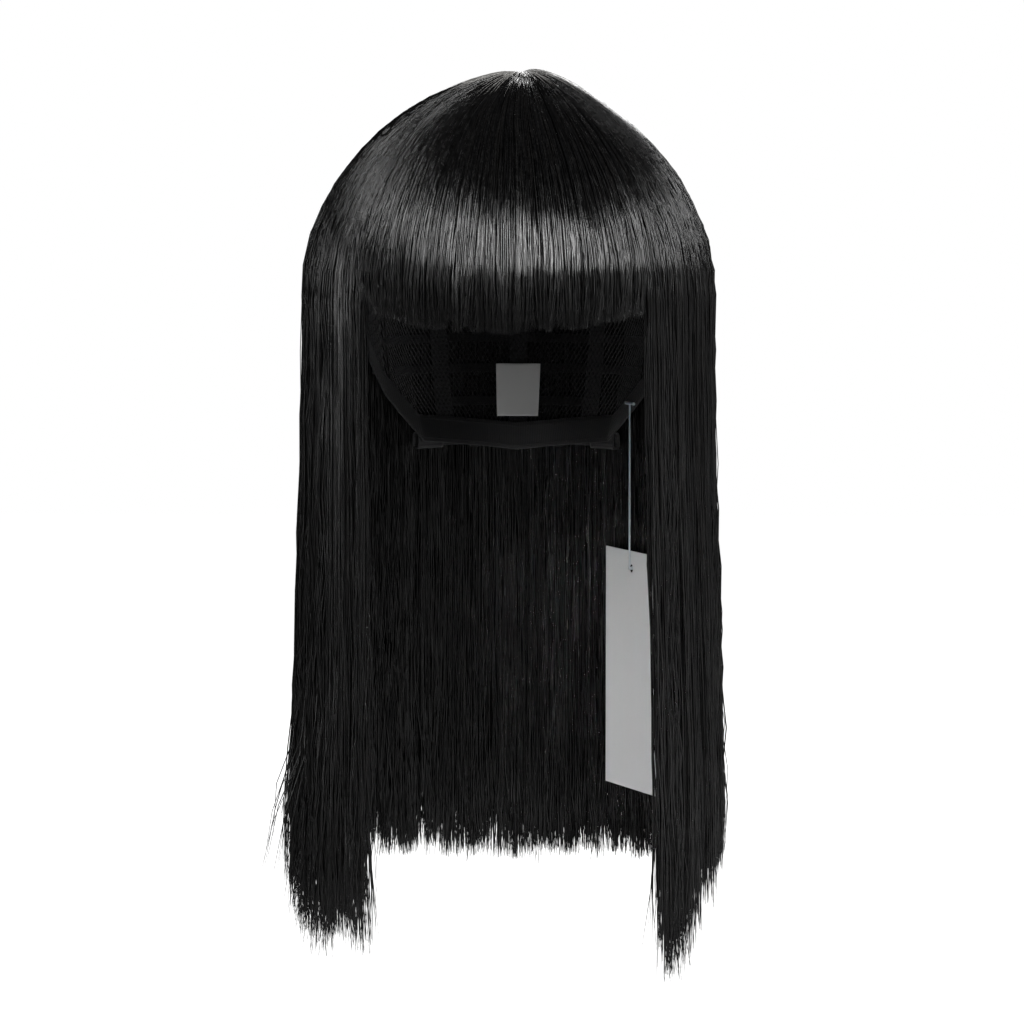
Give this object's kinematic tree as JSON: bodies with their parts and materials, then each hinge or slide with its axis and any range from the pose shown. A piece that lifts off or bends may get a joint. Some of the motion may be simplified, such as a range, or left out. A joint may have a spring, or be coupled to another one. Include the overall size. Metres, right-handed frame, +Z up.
{
  "type": "costume wig",
  "caption": "Straight long-haired costume wig with a blunt fringe, on a machine-wefted stretch cap with nape adjusters, ear tabs and a blank swing tag.",
  "frame": {"origin": "middle of the head opening at brow height, the level where the head is widest", "axes": "+Z up towards the crown; the face looks along -Y; +X is towards the wearer's left side"},
  "size_m": [0.194, 0.2285, 0.3897],
  "materials": {
    "hair": "straight glossy synthetic fibre",
    "net": "stretch lace net",
    "elastic": "ribbed woven elastic",
    "weft": "machine-stitched weft track",
    "binding": "satin binding",
    "felt": "soft felt",
    "stay": "bendable flat stay",
    "hook": "moulded hook",
    "skin_patch": "grey-beige knotted monofilament",
    "label": "white woven label, blank",
    "nylon": "clear nylon",
    "card": "white card, blank"
  },
  "bodies": {
    "cap": {"crown_skin_patch": "skin_patch", "front_net": "net", "right_net": "net", "left_net": "net", "back_net": "net", "rib_1": "elastic", "rib_2": "elastic", "rib_3": "elastic", "rib_4": "elastic", "rib_5": "elastic", "rib_6": "elastic", "rib_7": "elastic", "crown_weft_ring": "weft", "fringe_weft_1": "weft", "fringe_weft_2": "weft", "fringe_weft_3": "weft", "back_weft_1": "weft", "back_weft_2": "weft", "back_weft_3": "weft", "back_weft_4": "weft", "back_weft_5": "weft", "back_weft_6": "weft", "back_weft_7": "weft", "back_weft_8": "weft", "back_weft_9": "weft", "front_band": "binding", "right_ear_band": "binding", "left_ear_band": "binding", "nape_band": "binding", "right_strap_casing": "binding", "left_strap_casing": "binding", "right_loop_tape": "elastic", "left_loop_tape": "elastic", "care_label": "label", "crown_hair": "hair", "right_temple_hair": "hair", "left_temple_hair": "hair", "occiput_hair": "hair"},
    "fringe": {"fringe": "hair"},
    "right_front_lock": {"right_front_lock": "hair"},
    "right_side_curtain": {"right_side_curtain": "hair"},
    "back_right_curtain": {"back_right_curtain": "hair"},
    "back_center_curtain": {"back_center_curtain": "hair"},
    "back_left_curtain": {"back_left_curtain": "hair"},
    "left_side_curtain": {"left_side_curtain": "hair"},
    "left_front_lock": {"left_front_lock": "hair"},
    "right_ear_tab": {"right_ear_tab": "felt", "right_ear_stay": "stay"},
    "right_adjuster": {"right_strap": "elastic", "right_hook": "hook"},
    "left_ear_tab": {"left_ear_tab": "felt", "left_ear_stay": "stay"},
    "left_adjuster": {"left_strap": "elastic", "left_hook": "hook"},
    "tag_fastener": {"tag_fastener": "nylon"},
    "swing_tag": {"swing_tag": "card"}
  },
  "joints": [
    {"name": "right_front_lock_swing", "type": "hinge", "parent": "cap", "child": "right_front_lock", "pos_m": [0.07223, -0.04868, 0.007], "axis": [-0.3937, -0.9192, 0], "range_deg": [0, 35]},
    {"name": "right_side_curtain_swing", "type": "hinge", "parent": "cap", "child": "right_side_curtain", "pos_m": [0.07909, 0.02712, 0.007], "axis": [0.2131, -0.977, 0], "range_deg": [0, 35]},
    {"name": "back_right_curtain_swing", "type": "hinge", "parent": "cap", "child": "back_right_curtain", "pos_m": [0.04566, 0.08549, 0.007], "axis": [0.7641, -0.6451, 0], "range_deg": [0, 30]},
    {"name": "back_center_curtain_swing", "type": "hinge", "parent": "cap", "child": "back_center_curtain", "pos_m": [0, 0.103, 0.007], "axis": [1, 0, 0], "range_deg": [0, 30]},
    {"name": "back_left_curtain_swing", "type": "hinge", "parent": "cap", "child": "back_left_curtain", "pos_m": [-0.04566, 0.08549, 0.007], "axis": [0.7641, 0.6451, 0], "range_deg": [0, 30]},
    {"name": "left_side_curtain_swing", "type": "hinge", "parent": "cap", "child": "left_side_curtain", "pos_m": [-0.07909, 0.02712, 0.007], "axis": [0.2131, 0.977, 0], "range_deg": [0, 35]},
    {"name": "left_front_lock_swing", "type": "hinge", "parent": "cap", "child": "left_front_lock", "pos_m": [-0.07223, -0.04868, 0.007], "axis": [-0.3937, 0.9192, 0], "range_deg": [0, 35]},
    {"name": "fringe_lift", "type": "hinge", "parent": "cap", "child": "fringe", "pos_m": [0, -0.092, 0.043], "axis": [-1, 0, 0], "range_deg": [0, 30]},
    {"name": "right_ear_tab_bend", "type": "hinge", "parent": "cap", "child": "right_ear_tab", "pos_m": [0.07581, -0.02038, -0.006], "axis": [-0.1658, -0.9862, 0], "range_deg": [-25, 4]},
    {"name": "right_adjuster_pull", "type": "hinge", "parent": "cap", "child": "right_adjuster", "pos_m": [0, 0.028, -0.07], "axis": [0, 0, 1], "range_deg": [0, 3.5]},
    {"name": "left_ear_tab_bend", "type": "hinge", "parent": "cap", "child": "left_ear_tab", "pos_m": [-0.07581, -0.02038, -0.006], "axis": [-0.1658, 0.9862, 0], "range_deg": [-25, 4]},
    {"name": "left_adjuster_pull", "type": "hinge", "parent": "cap", "child": "left_adjuster", "pos_m": [0, 0.028, -0.07], "axis": [0, 0, -1], "range_deg": [0, 3.5]},
    {"name": "tag_fastener_swing", "type": "hinge", "parent": "cap", "child": "tag_fastener", "pos_m": [0.05265, 0.05615, -0.052], "axis": [-0.4321, 0.9018, 0], "range_deg": [0, 18]},
    {"name": "swing_tag_tilt", "type": "hinge", "parent": "tag_fastener", "child": "swing_tag", "pos_m": [0.0536, 0.0566, -0.128], "axis": [-0.4321, 0.9018, 0], "range_deg": [0, 20]}
  ]
}
